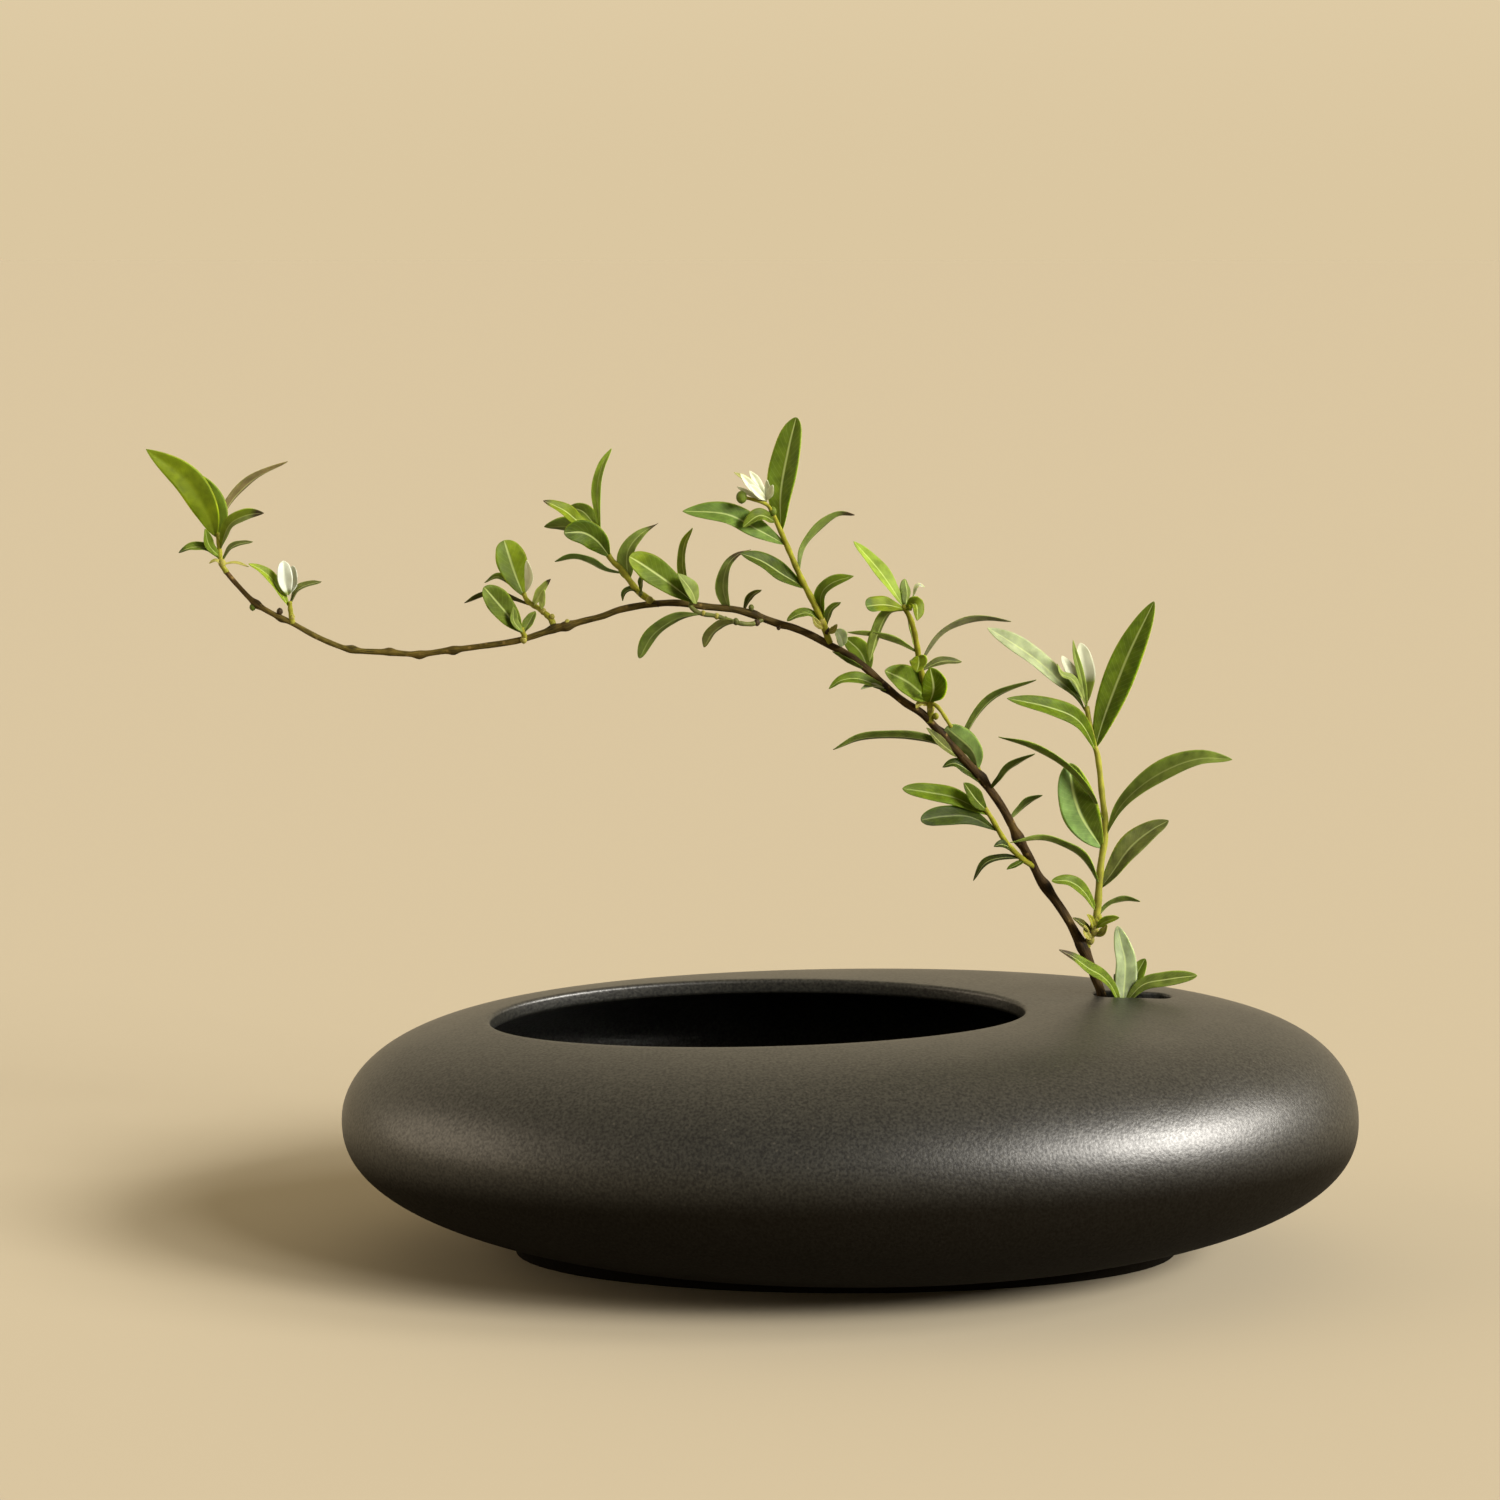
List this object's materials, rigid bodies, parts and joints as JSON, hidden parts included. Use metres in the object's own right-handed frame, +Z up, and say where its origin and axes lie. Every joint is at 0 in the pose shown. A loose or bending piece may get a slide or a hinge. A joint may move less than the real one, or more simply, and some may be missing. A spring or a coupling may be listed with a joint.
{
  "type": "branch in vase",
  "caption": "Leafy branch arching up and to the left out of a low pebble-shaped ceramic vase with a wide oval mouth, a stem slot and a flat foot",
  "frame": {"origin": "centre of the vase's flat foot, on the surface that it stands on", "axes": "+Z up, +X along the vase towards the end where the branch stands in it, +Y towards the back"},
  "size_m": [0.3858, 0.208, 0.2707],
  "materials": {
    "glazed_body": "satin charcoal with fine speckle",
    "water": "still water, dark from the vase around it",
    "bark": "dull brown bark",
    "leaves": "living leaf, a little waxy on top and paler below",
    "petals": "white petal, matte"
  },
  "bodies": {
    "root": {"vase": "glazed_body", "water": "water", "main_branch": "bark", "spray_tip": "leaves", "spray_two": "leaves", "spray_three": "leaves", "spray_four": "leaves", "spray_five": "leaves", "spray_six": "leaves", "spray_seven": "leaves", "spray_eight": "leaves", "spray_nine": "leaves", "spray_ten": "leaves", "spray_hole": "leaves", "leaf_ae": "leaves", "leaf_af": "leaves", "leaf_ap": "leaves", "leaf_aq": "leaves", "leaf_strip": "leaves", "leaf_as": "leaves", "leaf_bh": "leaves", "leaf_bi": "leaves", "leaf_bs": "leaves", "pair_bd": "leaves", "pair_bf": "leaves", "bud_two": "petals", "petal_four": "petals", "bloom_seven": "petals", "bloom_ten": "petals"}
  },
  "joints": []
}
